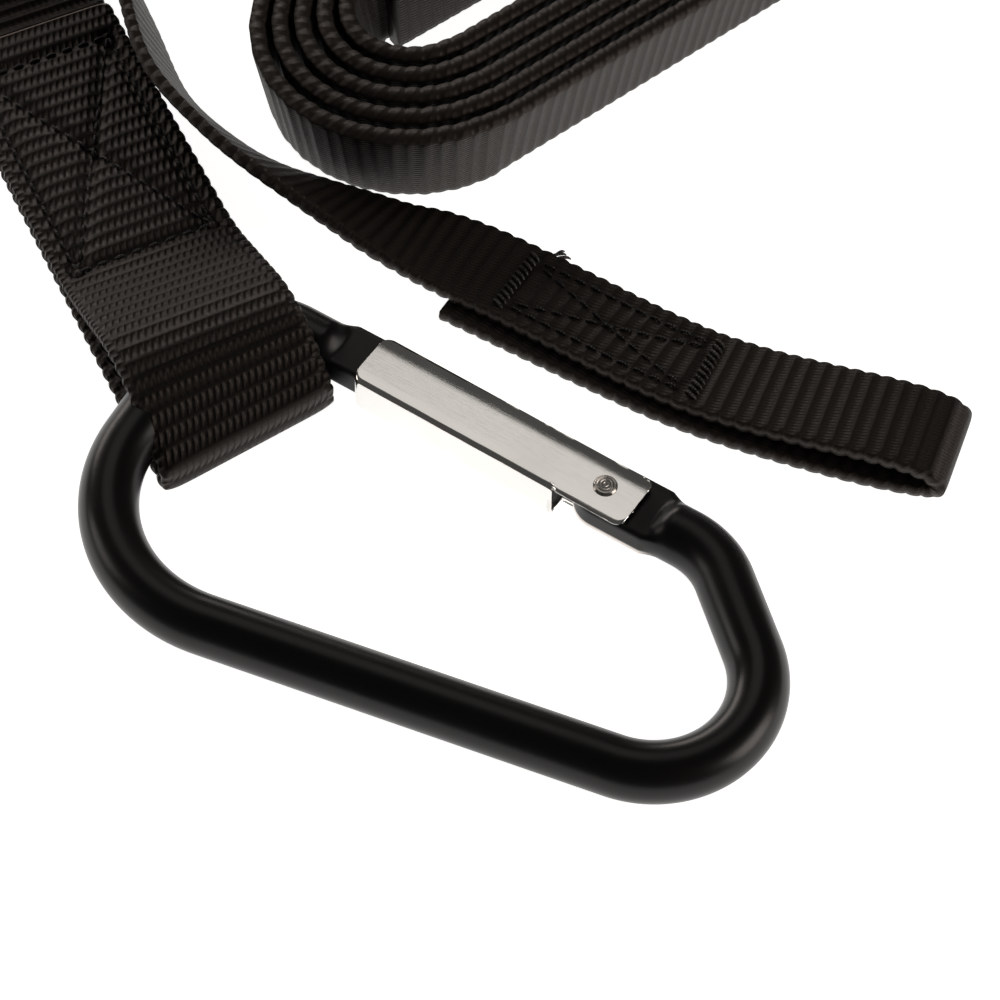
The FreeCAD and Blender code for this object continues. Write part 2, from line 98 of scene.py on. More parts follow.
def add_surroundings():
    """A dim room round the table."""
    world = bpy.data.worlds.new("room")
    bpy.context.scene.world = world
    world.use_nodes = True
    world.node_tree.nodes["Background"].inputs["Color"].default_value = (1, 0.98, 0.95, 1)
    world.node_tree.nodes["Background"].inputs["Strength"].default_value = 0.06


def set_stage():
    """Everything that isn't the object."""
    bpy.context.scene.view_settings.view_transform = "Standard"
    add_camera()
    add_floor()
    add_surroundings()
    warm = (1, 0.92, 0.86)
    add_light("top", (-0.2, 0.5, 1.1), (0.7, 0.6), 0.85, (1, 0.97, 0.93))
    add_light("back", (-0.95, 1.05, 0.42), (1.4, 0.35), 7.0, warm)
    add_light("right", (1.05, 0.1, 0.35), (0.6, 0.5), 4.5, warm)
    add_light("left", (-1.1, -0.25, 0.45), (0.5, 0.4), 1.6, warm)


# ---------------------------------------------------------------- shader building blocks

class Nodes:
    """A short way to write a material's nodes."""

    def __init__(self, name):
        self.material = bpy.data.materials.new(name)
        self.material.use_nodes = True
        self.tree = self.material.node_tree
        self.shader = self.tree.nodes["Principled BSDF"]

    def put(self, socket, value):
        """Gives an input a number, a colour or another node's output."""
        if isinstance(value, bpy.types.NodeSocket):
            self.tree.links.new(value, socket)
        elif value is not None:
            socket.default_value = value

    def math(self, operation, first, second=None, third=None):
        """A maths node."""
        made = self.tree.nodes.new("ShaderNodeMath")
        made.operation = operation
        for socket, value in zip(made.inputs, (first, second, third)):
            self.put(socket, value)
        return made.outputs[0]

    def attribute(self, name):
        """The three parts of a mesh attribute."""
        made = self.tree.nodes.new("ShaderNodeAttribute")
        made.attribute_name = name
        parts = self.tree.nodes.new("ShaderNodeSeparateXYZ")
        self.tree.links.new(made.outputs["Vector"], parts.inputs[0])
        return parts.outputs

    def place(self):
        """The point on the object, in metres."""
        return self.tree.nodes.new("ShaderNodeTexCoord").outputs["Object"]

    def noise(self, vector, scale, detail=2.0, rough=0.5):
        """A noise between 0 and 1."""
        made = self.tree.nodes.new("ShaderNodeTexNoise")
        self.put(made.inputs["Vector"], vector)
        made.inputs["Scale"].default_value = scale
        made.inputs["Detail"].default_value = detail
        made.inputs["Roughness"].default_value = rough
        return made.outputs["Fac"]

    def stretch(self, vector, scale):
        """A vector scaled differently along each axis."""
        made = self.tree.nodes.new("ShaderNodeMapping")
        self.put(made.inputs["Vector"], vector)
        made.inputs["Scale"].default_value = scale
        return made.outputs[0]

    def ramp(self, value, *stops):
        """A colour ramp with stops (place, colour)."""
        made = self.tree.nodes.new("ShaderNodeValToRGB")
        self.put(made.inputs[0], value)
        elements = made.color_ramp.elements
        while len(elements) < len(stops):
            elements.new(0.5)
        for element, (at, colour) in zip(elements, stops):
            element.position = at
            element.color = (*colour, 1)
        return made.outputs[0]

    def span(self, value, low, high, new_low=0.0, new_high=1.0):
        """A number mapped from one range to another."""
        made = self.tree.nodes.new("ShaderNodeMapRange")
        for socket, number in zip(made.inputs, (value, low, high, new_low, new_high)):
            self.put(socket, number)
        return made.outputs[0]

    def bump(self, height, distance, strength=1.0, under=None):
        """A bump in metres on top of another one."""
        made = self.tree.nodes.new("ShaderNodeBump")
        self.put(made.inputs["Height"], height)
        made.inputs["Distance"].default_value = distance
        made.inputs["Strength"].default_value = strength
        self.put(made.inputs["Normal"], under)
        return made.outputs[0]

    def set(self, **inputs):
        """Sets the shader's inputs; a name's underscores stand for spaces."""
        for name, value in inputs.items():
            self.put(self.shader.inputs[name.replace("_", " ")], value)
        return self.material


def webbing_paint(name, rib, bead, relief_depth, crest_from, shade_highlight_and_cut_end, warmth):
    """Black nylon webbing: ribs with a row of slanting yarn beads on each crest, corded edges; its colour
    is painted shade in the grooves and painted highlight on the crests, beads and cords.
    """
    n = Nodes(name)
    along, across, wear = n.attribute("weave")
    through, rim, _ = n.attribute("edge")
    row = n.math("DIVIDE", along, rib)
    ridge = n.math("ABSOLUTE", n.math("SINE", n.math("MULTIPLY", row, math.pi)))
    crest = n.span(ridge, crest_from, 1.0)
    slant = n.math("MULTIPLY", n.math("FRACT", row), 0.6)
    column = n.math("ADD", n.math("DIVIDE", across, bead), slant)
    pearl = n.math("ABSOLUTE", n.math("SINE", n.math("MULTIPLY", column, math.pi)))
    beads = n.math("MULTIPLY", crest, n.math("MULTIPLY_ADD", pearl, 0.75, 0.25))
    twist = n.math("ADD", n.math("DIVIDE", along, rib / 2), n.math("MULTIPLY", through, 0.45))
    cord = n.math("ABSOLUTE", n.math("SINE", n.math("MULTIPLY", twist, math.pi)))
    plain = n.math("ADD", n.math("MULTIPLY", ridge, 0.3), n.math("MULTIPLY", beads, 0.7))
    cord = n.math("MULTIPLY_ADD", cord, 0.35, 0.4)
    mixed = n.tree.nodes.new("ShaderNodeMix")
    for socket, value in zip(mixed.inputs[0:1] + mixed.inputs[2:4], (rim, plain, cord)):
        n.put(socket, value)
    height = mixed.outputs[0]
    fibre = n.noise(n.stretch(n.place(), (3000, 3000, 3000)), 1.0, 3.0, 0.7)
    patch = n.noise(n.place(), 70.0, 3.0)
    relief = n.bump(height, relief_depth, 1.0, n.bump(fibre, 0.00004))
    # The colour follows the weave's height: darker in the grooves as painted shade, lighter on the
    # crests, beads and cords as painted highlight; the patch noise is random tone and the wear adds the
    # sealed cut end.
    tone = n.math("ADD", n.math("MULTIPLY", height, 0.75), n.math("MULTIPLY", patch, 0.25))
    tone = n.math("ADD", tone, wear)
    # The three colours: painted shade for the grooves, painted highlight for the crests and beads, and
    # the sealed cut end's colour, which the brightest bead tops also reach as painted highlight.
    painted_groove_shade, light, worn = (tuple(k * c for c in warmth) for k in shade_highlight_and_cut_end)
    colour = n.ramp(tone, (0.3, painted_groove_shade), (0.9, light), (1.0, worn))
    rough = n.span(fibre, 0.2, 0.8, 0.4, 0.66)
    return n.set(Base_Color=colour, Roughness=rough, Normal=relief, Specular_IOR_Level=0.33,
                 Specular_Tint=(1, 0.86, 0.78, 1))


def thread_paint(name, tone):
    """Bonded black sewing thread, twisted, with a soft shine."""
    n = Nodes(name)
    along, _, _ = n.attribute("weave")
    twist = n.math("ABSOLUTE", n.math("SINE", n.math("MULTIPLY", along, 9.0)))
    patch = n.noise(n.place(), 900.0)
    colour = n.ramp(patch, (0.3, (0.002, 0.0019, 0.0018)), (0.75, (tone, 0.9 * tone, 0.8 * tone)))
    return n.set(Base_Color=colour, Roughness=n.span(patch, 0.2, 0.8, 0.35, 0.6),
                 Normal=n.bump(twist, 0.00006), Specular_IOR_Level=0.4)


def rod_paint():
    """Black anodised bar: glossy, satin on the pressed flats, with specks of dust and rub marks."""
    n = Nodes("anodised_black")
    flat, bare, _ = n.attribute("weave")
    speck = n.noise(n.place(), 900.0, 4.0, 0.6)
    smear = n.noise(n.place(), 45.0, 4.0, 0.6)
    dust = n.span(speck, 0.76, 0.82)
    colour = n.ramp(n.math("MAXIMUM", dust, n.span(smear, 0.72, 0.95, 0.0, 0.2)),
                    (0.0, (0.0026, 0.0024, 0.0022)), (1.0, (0.05, 0.046, 0.042)))
    rough = n.math("ADD", n.span(smear, 0.25, 0.75, 0.24, 0.36), n.math("MULTIPLY", dust, 0.2))
    rough = n.math("ADD", rough, n.math("MULTIPLY", flat, 0.14))
    grain = n.bump(n.noise(n.place(), 1600.0, 2.0), 0.000004)
    worn = n.tree.nodes.new("ShaderNodeMix")
    worn.data_type = "RGBA"
    for socket, value in zip((worn.inputs[0], worn.inputs[6], worn.inputs[7]),
                             (bare, colour, (0.8, 0.74, 0.7, 1))):
        n.put(socket, value)
    return n.set(Base_Color=worn.outputs[2], Metallic=bare, Roughness=rough, Normal=grain,
                 Specular_IOR_Level=0.32)


def gate_paint():
    """Bright polished sheet steel with fine lengthwise brushing and faint handling marks."""
    n = Nodes("polished_sheet")
    along, across, _ = n.attribute("weave")
    made = n.tree.nodes.new("ShaderNodeCombineXYZ")
    n.put(made.inputs[0], n.math("MULTIPLY", along, 0.05))
    n.put(made.inputs[1], n.math("MULTIPLY", across, 4.0))
    brush = n.noise(made.outputs[0], 3.0, 4.0, 0.6)
    smear = n.noise(n.place(), 120.0, 3.0)
    colour = n.ramp(smear, (0.2, (0.82, 0.8, 0.77)), (0.8, (0.93, 0.91, 0.88)))
    rough = n.math("ADD", n.span(brush, 0.2, 0.8, 0.08, 0.17), n.span(smear, 0.5, 0.9, 0.0, 0.06))
    return n.set(Base_Color=colour, Metallic=1.0, Roughness=rough,
                 Normal=n.bump(brush, 0.000008))


def rivet_paint():
    """A turned steel rivet head: faint rings round its centre."""
    n = Nodes("rivet_steel")
    radius, _, _ = n.attribute("weave")
    rings = n.math("SINE", n.math("MULTIPLY", radius, 15.0))
    smear = n.noise(n.place(), 900.0, 3.0)
    colour = n.ramp(smear, (0.25, (0.3, 0.28, 0.26)), (0.8, (0.55, 0.52, 0.49)))
    return n.set(Base_Color=colour, Metallic=1.0, Roughness=n.span(smear, 0.2, 0.8, 0.2, 0.34),
                 Normal=n.bump(rings, 0.00003, 1.0, n.bump(smear, 0.00004)))


def steel_paint(name, tone, low, high):
    """Plain steel with a turned or drawn surface."""
    n = Nodes(name)
    smear = n.noise(n.place(), 700.0, 3.0)
    colour = n.ramp(smear, (0.25, tuple(0.8 * tone for _ in range(3))), (0.8, (tone,) * 3))
    return n.set(Base_Color=colour, Metallic=1.0, Roughness=n.span(smear, 0.2, 0.8, low, high),
                 Normal=n.bump(smear, 0.00001))


# ---------------------------------------------------------------- straps

def unit(vectors):
    """Vectors scaled to length 1."""
    return vectors / np.linalg.norm(vectors, axis=-1, keepdims=True)


def resample(stations, step):
    """Stations (first three numbers a point) at even steps along their line."""
    lengths = np.linalg.norm(np.diff(stations[:, :3], axis=0), axis=1)
    travelled = np.concatenate([[0], np.cumsum(lengths)])
    count = max(2, int(round(travelled[-1] / step)) + 1)
    at = np.linspace(0, travelled[-1], count)
    return np.stack([np.interp(at, travelled, column) for column in stations.T], 1), at


def smooth_line(stations, step=0.25):
    """A smooth line through stations, each a point followed by any other numbers."""
    points = np.array(stations, float)
    points = np.vstack([2 * points[0] - points[1], points, 2 * points[-1] - points[-2]])
    parts = []
    for a, b, c, d in zip(points, points[1:], points[2:], points[3:]):
        gaps = [max(np.linalg.norm((q - p)[:3]) ** 0.5, 1e-6) for p, q in ((a, b), (b, c), (c, d))]
        t0, t1, t2, t3 = 0.0, gaps[0], sum(gaps[:2]), sum(gaps)
        t = np.linspace(t1, t2, 40, endpoint=False)[:, None]
        ab = (t1 - t) / (t1 - t0) * a + (t - t0) / (t1 - t0) * b
        bc = (t2 - t) / (t2 - t1) * b + (t - t1) / (t2 - t1) * c
        cd = (t3 - t) / (t3 - t2) * c + (t - t2) / (t3 - t2) * d
        left = (t2 - t) / (t2 - t0) * ab + (t - t0) / (t2 - t0) * bc
        right = (t3 - t) / (t3 - t1) * bc + (t - t1) / (t3 - t1) * cd
        parts.append((t2 - t) / (t2 - t1) * left + (t - t1) / (t2 - t1) * right)
    return resample(np.vstack(parts + [points[-2:-1]]), step)[0]


def rounded(corners, step=0.2):
    """A flat line through corners (x, y, radius), with an arc of that radius at each."""
    points = np.array([c[:2] for c in corners], float)
    line = [points[0]]
    for before, here, after, corner in zip(points, points[1:], points[2:], corners[1:]):
        into, out = unit(here - before), unit(after - here)
        half = math.acos(max(-1.0, min(1.0, float(into @ out)))) / 2
        if half < 1e-4:
            line.append(here)
            continue
        first = here - into * corner[2] * math.tan(half)
        centre = here + unit(out - into) * corner[2] / math.cos(half)
        sweep = 2 * half * (1 if into[0] * out[1] - into[1] * out[0] > 0 else -1)
        arm = first - centre
        for t in np.linspace(0, sweep, max(4, int(abs(sweep) * corner[2] / step) + 2)):
            c, s = math.cos(t), math.sin(t)
            line.append(centre + np.array([c * arm[0] - s * arm[1], s * arm[0] + c * arm[1]]))
    line.append(points[-1])
    return resample(np.array(line), step)[0]


def plain_mesh(name, vertices, faces, weave, paint):
    """A smooth-shaded mesh object with the three numbers that its paint reads."""
    mesh = bpy.data.meshes.new(name)
    mesh.from_pydata([tuple(v) for v in vertices], [], faces)
    store = mesh.attributes.new("weave", "FLOAT_VECTOR", "POINT")
    store.data.foreach_set("vector", np.array(weave, np.float32).ravel())
    mesh.polygons.foreach_set("use_smooth", np.ones(len(faces), bool))
    mesh.materials.append(paint)
    made = bpy.data.objects.new(name, mesh)
    bpy.context.scene.collection.objects.link(made)
    return made


class Strap:
    """A woven strap along a line: rows of ribs with scalloped selvedges, as one closed mesh."""

    def __init__(self, name, line, across, width, thickness, rib, columns, per_rib=7,
                 depth=0.22, scallop=0.3, thin_rim=0.45):
        self.name, self.width, self.thickness, self.rib = name, width, thickness, rib
        stations, self.at = resample(np.hstack([line, across]), rib / per_rib)
        self.centre, self.across = stations[:, :3], unit(stations[:, 3:6])
        ahead = unit(np.gradient(self.centre, axis=0))
        self.across = unit(self.across - (self.across * ahead).sum(1, keepdims=True) * ahead)
        self.normal = np.cross(ahead, self.across)
        self.ahead = ahead
        self.columns, self.depth, self.scallop = columns, depth, scallop
        self.thin_rim = thin_rim
        self.sinks, self.wears = [], []

    def sink(self, shape):
        """Adds a groove: shape(along, across) gives how far the faces are pulled in."""
        self.sinks.append(shape)

    def length(self):
        """The strap's length in mm."""
        return float(self.at[-1])

    def build(self, paint):
        """Makes the mesh object."""
        half = self.width / 2
        spread = np.linspace(-1, 1, self.columns)
        face = (np.sin(spread * math.pi / 2) * 0.35 + spread * 0.65) * half
        ones = np.ones(self.columns)
        y = np.concatenate([face, [half], face[::-1], [-half]])
        side = np.concatenate([ones, [0], -ones, [0]])
        edge = np.abs(y) / half
        full = self.thickness / 2 * (1 - self.thin_rim * edge ** 12)
        phase = self.at / self.rib
        ridge = np.abs(np.sin(phase * math.pi)) ** 0.8
        other = np.abs(np.sin((phase + 0.5) * math.pi)) ** 0.8
        flip = np.where(side[None, :] >= 0, ridge[:, None], other[:, None])
        lift = full[None, :] + self.depth * (flip - 0.85) * (1 - 0.3 * edge[None, :] ** 4)
        rim = self.scallop * (np.where(y[None, :] > 0, ridge[:, None], other[:, None]) - 0.6)
        rim = rim + np.where(side == 0, 0.22, 0.0)[None, :]
        yy = y[None, :] + np.sign(y)[None, :] * rim * edge[None, :] ** 6
        for shape in self.sinks:
            lift = lift - shape(self.at[:, None], yy)
        points = (self.centre[:, None] + self.across[:, None] * yy[..., None]
                  + self.normal[:, None] * (lift * side[None, :])[..., None])
        rows, ring = yy.shape
        ends = [self.centre[0] - self.ahead[0] * 0.15, self.centre[-1] + self.ahead[-1] * 0.15]
        index = np.arange(rows * ring).reshape(rows, ring)
        nxt = np.roll(index, -1, axis=1)
        quads = np.stack([index[:-1], nxt[:-1], nxt[1:], index[1:]], -1).reshape(-1, 4)
        faces = [tuple(q) for q in quads.tolist()]
        faces += [(rows * ring, int(nxt[0, k]), int(index[0, k])) for k in range(ring)]
        faces += [(rows * ring + 1, int(index[-1, k]), int(nxt[-1, k])) for k in range(ring)]
        weave = np.zeros((rows * ring + 2, 3), np.float32)
        weave[:-2, 0] = np.repeat(self.at, ring)
        weave[:-2, 1] = yy.ravel()
        for shape in self.wears:
            weave[:-2, 2] += shape(self.at[:, None], yy).ravel()
        weave[-2:, 0] = (0, self.at[-1])
        weave[-2, 2] = weave[0, 2]
        corded = np.zeros((rows * ring + 2, 3), np.float32)
        corded[:-2, 0] = np.tile(side, rows)
        corded[:-2, 1] = np.tile(np.clip((edge - 0.9) / 0.08, 0, 1), rows)
        made = plain_mesh(self.name, np.vstack([points.reshape(-1, 3), ends]) * MM, faces, weave,
                          paint)
        store = made.data.attributes.new("edge", "FLOAT_VECTOR", "POINT")
        store.data.foreach_set("vector", corded.ravel())
        return made

    def along_at(self, point, low, high):
        """How far along the strap, between two lengths, its centre comes nearest to a point."""
        inside = np.where((self.at >= low) & (self.at <= high))[0]
        gaps = np.linalg.norm(self.centre[inside, :2] - np.array(point), axis=1)
        return float(self.at[inside[np.argmin(gaps)]])

    def on_face(self, along, across, rise, side=1):
        """A point on one of the strap's faces, in mm."""
        k = np.interp(along, self.at, np.arange(len(self.at)))
        i = int(min(k, len(self.at) - 2))
        t = k - i
        centre = self.centre[i] * (1 - t) + self.centre[i + 1] * t
        return centre + self.across[i] * across + self.normal[i] * side * (
            self.thickness / 2 + rise)


def thread_mesh(name, stitches, thickness, paint):
    """Short arched lengths of thread, each (start, end, up), as one mesh."""
    points, faces, weave = [], [], []
    sides, steps = 6, 7
    for start, end, up in stitches:
        start, end, up = (np.array(v, float) for v in (start, end, up))
        ahead = unit(end - start)
        beside = np.cross(ahead, up)
        first = len(points)
        for i in range(steps):
            t = i / (steps - 1)
            middle = start + (end - start) * t + up * thickness * (math.sin(math.pi * t) ** 0.5 - 0.75)
            girth = thickness / 2 * (0.6 + 0.4 * math.sin(math.pi * t) ** 0.5)
            for j in range(sides):
                a = 2 * math.pi * j / sides
                points.append((middle + beside * girth * math.cos(a) + up * girth * math.sin(a)) * MM)
                weave.append((np.linalg.norm(end - start) * t, a, 0.0))
        for i in range(steps - 1):
            for j in range(sides):
                a, b = first + i * sides + j, first + i * sides + (j + 1) % sides
                faces.append((a, b, b + sides, a + sides))
        faces.append(tuple(first + j for j in range(sides))[::-1])
        faces.append(tuple(first + (steps - 1) * sides + j for j in range(sides)))
    return plain_mesh(name, points, faces, weave, paint)


def near_line(a, b, reach, depth):
    """A groove along the line from a to b on a strap's face."""
    a, b = np.array(a, float), np.array(b, float)
    span = b - a

    def shape(along, across):
        dx, dy = along - a[0], across - a[1]
        t = np.clip((dx * span[0] + dy * span[1]) / (span @ span), 0, 1)
        gap = np.hypot(dx - t * span[0], dy - t * span[1])
        return depth * np.exp(-(gap / reach) ** 2)
    return shape


def one_stitch(strap, a, b, rise, side=1):
    """One stitch from a to b on a strap's face."""
    start, end = (strap.on_face(v[0], v[1], rise, side) for v in (a, b))
    i = int(np.clip(np.interp(a[0], strap.at, np.arange(len(strap.at))), 0, len(strap.at) - 1))
    return start, end, strap.normal[i] * side


def row_of_stitches(strap, a, b, pitch, rise=0.0, side=1, share=0.8):
    """Stitches from a to b on a strap's face, each a share of the pitch long."""
    a, b = np.array(a, float), np.array(b, float)
    count = max(1, int(round(np.linalg.norm(b - a) / pitch)))
    found = []
    for k in range(count):
        p = a + (b - a) * (k + (1 - share) / 2) / count
        q = a + (b - a) * (k + (1 + share) / 2) / count
        found.append(one_stitch(strap, p, q, rise, side))
    return found


# ---------------------------------------------------------------- the sling

SLING_BEARING = -43.2
SLING_WIDTH, SLING_THICK, SLING_RIB = 25.0, 1.85, 2.3
SEAM_SPAN, SEAM_HALF = (46.3, 6.3), 10.0


def sling_line():
    """The sling's centre line, from above: over the bar, back beneath, and round the upper loop."""
    low = SLING_THICK / 2
    upper = low + SLING_THICK + 0.1
    far, high = -139.075, 16.5
    return rounded((
        (-70.0, upper, 0), (-22.5, upper, 24), (0.8, 13.2, 14),
        (12.05, 4.7, 0.7), (12.0, 1.2, 0.9), (4.0, low, 8), (far, low, 5),
        (far, high, 7), (-114, high, 7), (-108, upper, 6), (-88, upper, 0),
    ))


def build_sling(paint, thread):
    """The wide strap: sewn back on itself at both ends, one loop lying over the bar; only the stitching
    beside the bar is made.
    """
    flat = sling_line()
    turn = math.radians(SLING_BEARING)
    ahead = np.array([math.cos(turn), math.sin(turn), 0])
    side = np.array([-math.sin(turn), math.cos(turn), 0])
    line = flat[:, :1] * ahead + flat[:, 1:2] * UP
    strap = Strap("sling", line, np.tile(side, (len(line), 1)), SLING_WIDTH, SLING_THICK,
                  SLING_RIB, 50, per_rib=10)
    (first, last), half = SEAM_SPAN, SEAM_HALF
    corners = [(last, -half), (first, -half), (first, half), (last, half)]
    seams = list(zip(corners, corners[1:] + corners[:1]))
    seams += [((last, -half), (first, half)), ((last, half), (first, -half))]
    for a, b in seams:
        strap.sink(near_line(a, b, 1.1, 0.55))
    strap.wears.append(lambda along, across: 1.0 * (along < 0.45) + 0 * across)
    made = strap.build(paint)
    shear_fold(made, ahead, side)
    stitches = sum((row_of_stitches(strap, a, b, 2.4, -0.56) for a, b in seams), [])
    sewn = thread_mesh("sling_stitches", stitches, 0.5, thread)
    return strap, made, sewn


def shear_fold(made, ahead, side):
    """Pulls the fold askew: it reaches further out on the camera's left than on its right."""
    count = len(made.data.vertices)
    co = np.zeros(count * 3, np.float32)
    made.data.vertices.foreach_get("co", co)
    co = co.reshape(-1, 3) / MM
    x, y = co @ ahead, co @ side
    pull = np.clip((x + 6) / 19, 0, 1) ** 1.5
    co += ahead * (-0.106 * y * pull)[:, None] + UP * (0.07 * (y + 12.5) * pull)[:, None]
    made.data.vertices.foreach_set("co", (co * MM).astype(np.float32).ravel())
    made.data.update()


# ---------------------------------------------------------------- the tie strap

TIE_WIDTH, TIE_THICK, TIE_RIB = 13.0, 2.0, 2.15
ROLL_AT, ROLL_BEARING, ROLL_STRAIGHT = (4.6, 60.4), 58.8, 75.0
ROLL_TURNS, ROLL_PITCH, ROLL_RADIUS, ROLL_THICK = 5, 3.1, 21.2, 2.5
FLAT_SHARE = 0.36
TACKS_AT, TACK_HALF, TACK_THREADS = ((32.2, 28.8), (61.0, 23.3)), 4.8, 11


def polar(angle, length=1.0):
    """The flat vector at this bearing in degrees."""
    turn = math.radians(angle)
    return np.array([math.cos(turn), math.sin(turn), 0]) * length


def roll_line():
    """The spiral of the roll, from its inner end out, with how far the strap leans outward."""
    along, left = polar(ROLL_BEARING), polar(ROLL_BEARING + 90)
    near = np.array([*ROLL_AT, TIE_WIDTH / 2 + 0.3])
    steps = 96
    slack = polar(ROLL_BEARING + 50, 0.8)
    made = []
    for k in range(ROLL_TURNS * steps + 1):
        turn = k / steps
        inward = ROLL_TURNS - turn
        x, y, nx, ny, lean = stadium(turn % 1.0, ROLL_RADIUS - ROLL_PITCH * inward)
        point = near + along * x + left * y + slack * inward
        across = unit(UP + (along * nx + left * ny) * lean)
        made.append([*point, *across])
    return np.array(made)


def stadium(t, radius):
    """A point of a flat-sided loop at share t of its way round: place, outward way and lean."""
    straight, side = ROLL_STRAIGHT, FLAT_SHARE
    if t < side:
        return straight * (t / side), radius, 0.0, 1.0, 0.05
    if t < 0.5:
        a = math.radians(90 - 180 * (t - side) / (0.5 - side))
        return straight + radius * math.cos(a), radius * math.sin(a), math.cos(a), math.sin(a), 0.1
    if t < 0.5 + side:
        return straight * (1 - (t - 0.5) / side), -radius, 0.0, -1.0, 0.2
    a = math.radians(-90 - 180 * (t - 0.5 - side) / (0.5 - side))
    return radius * math.cos(a), radius * math.sin(a), math.cos(a), math.sin(a), 0.15


def run_line():
    """On edge, leaving the roll's outer side in a bend, through the sling's upper loop and back."""
    side = np.array([*ROLL_AT, 0]) + polar(ROLL_BEARING + 90, ROLL_RADIUS)
    begin, turn = side + polar(ROLL_BEARING, 3.0), side + polar(ROLL_BEARING, 83.0)
    flat = rounded(((begin[0], begin[1], 0), (turn[0], turn[1], 14), (-124.0, 113.6, 22),
                    (-124.0, 53.4, 14), (-77.6, 102.9, 14), (-47.0, 67.3, 0)), 1.0)
    line = np.hstack([flat, np.full((len(flat), 1), 8.7)])
    return np.hstack([line, np.tile(UP, (len(line), 1))])


TWIST = (
    (-47.0, 67.3, 8.7, -49.0, 0), (-37.4, 56.1, 6.7, -53.0, 15), (-25.8, 42.8, 6.4, -36.0, 25),
    (-14.0, 36.2, 6.1, -23.0, 33), (-6.4, 33.7, 5.8, -13.0, 41), (1.1, 32.5, 5.1, -7.0, 52),
    (8.1, 31.6, 4.4, -7.0, 63), (13.5, 30.9, 3.9, -6.0, 72), (19.6, 30.5, 3.5, -7.0, 84),
)
END_TOP = (
    (25.9, 29.8, 3.2, -9.0), (33.0, 28.6, 3.15, -11.0), (42.0, 26.7, 3.15, -12.0),
    (51.0, 24.8, 3.15, -11.0), (60.0, 23.4, 3.2, -6.0), (68.0, 22.9, 3.5, -2.0),
    (76.0, 22.8, 4.2, 0.0), (84.0, 22.9, 4.9, 1.0), (89.5, 23.0, 5.0, 0.0), (93.3, 23.0, 4.4, 0.0),
)
END_FOLD = ((94.8, 23.0, 3.3, 0.0), (95.1, 23.0, 2.5, 0.0), (94.6, 23.0, 1.6, 0.0))
END_UNDER = (
    (93.0, 23.0, 1.05, 0.0), (86.0, 22.1, 1.0, 1.0), (76.0, 21.6, 1.0, 0.0),
    (66.0, 21.6, 1.0, -3.0), (58.0, 22.2, 1.0, -7.0), (48.0, 23.8, 1.0, -10.0),
    (38.0, 25.6, 1.0, -11.0), (25.0, 28.0, 1.0, -11.0),
)


def tail_line():
    """The strap's end: turning from on edge to flat, sewn back on itself with an open eye."""
    stations = []
    for x, y, z, bearing, lean in TWIST:
        along = polar(bearing)
        turned = Matrix.Rotation(math.radians(lean), 3, Vector(along)) @ Vector(UP)
        stations.append([x, y, z, *turned])
    for x, y, z, bearing in END_TOP + END_FOLD + END_UNDER:
        stations.append([x, y, z, *-polar(bearing + 90)])
    return smooth_line(stations)


def build_tie(paint, thread, tack_thread):
    """The narrow strap, its roll and its sewn end."""
    coil = resample(np.vstack([roll_line(), run_line()]), 0.5)[0]
    roll = Strap("tie_strap_coil", coil[:, :3], coil[:, 3:6], TIE_WIDTH, ROLL_THICK, TIE_RIB, 13,
                 depth=0.1, scallop=0.22, thin_rim=0.12)
    tail = tail_line()
    end = Strap("tie_strap_tail", tail[:, :3], tail[:, 3:6], TIE_WIDTH, TIE_THICK, TIE_RIB, 41,
                per_rib=9, depth=0.09, scallop=0.3, thin_rim=0.1)
    top_layer = (60, end.length() * 0.62)
    first, second = (end.along_at(place, *top_layer) for place in TACKS_AT)
    tacks = []
    for middle in (first, second):
        for k in range(TACK_THREADS):
            y = -TACK_HALF + 2 * TACK_HALF * k / (TACK_THREADS - 1)
            tacks.append(((middle - 0.95, y - 0.4), (middle + 0.95, y + 0.4)))
        end.sink(near_line((middle, -TACK_HALF), (middle, TACK_HALF), 1.3, 0.22))
    loose = [((first + 1.4, -5.9), (first + 3.1, -7.9)), ((first + 1.9, -6.0), (first + 2.6, -8.3)),
             ((first + 2.2, -6.1), (first + 4.0, -7.6))]
    sides = [((first + 1.6, y), (second - 1.6, y)) for y in (-4.4, 4.4)]
    cross = [((first + 2.0, y), (second - 2.0, -y)) for y in (-3.6, 3.6)]
    for a, b in sides + cross:
        end.sink(near_line(a, b, 0.8, 0.26))
    made = end.build(paint)

    tack_threads = [one_stitch(end, a, b, 0.06, -1) for a, b in tacks]
    tack_threads += [one_stitch(end, a, b, -0.5, -1) for a, b in loose]
    side_threads = sum((row_of_stitches(end, a, b, 2.3, -0.08, -1) for a, b in sides), [])
    cross_threads = sum((row_of_stitches(end, a, b, 2.3, -0.1, -1) for a, b in cross), [])
    threads = (thread_mesh("tie_bar_tacks", tack_threads, 0.5, tack_thread),
               thread_mesh("tie_side_stitches", side_threads, 0.42, thread),
               thread_mesh("tie_cross_stitch", cross_threads, 0.42, thread))
    return (roll, roll.build(paint)), (end, made), threads


# ---------------------------------------------------------------- the gate

CARABINER_AT, CARABINER_TILT = np.array([48.4, -37.8, 4.78]), math.radians(1.5)
NOSE_CORNER, HINGE_CORNER, PIVOT_X = (-50.75, 48.6), (22.4, 33.6), 7.4
GATE_SLOPE = math.atan2(HINGE_CORNER[1] - NOSE_CORNER[1], HINGE_CORNER[0] - NOSE_CORNER[0])
PIVOT_Y = NOSE_CORNER[1] + math.tan(GATE_SLOPE) * (PIVOT_X - NOSE_CORNER[0])

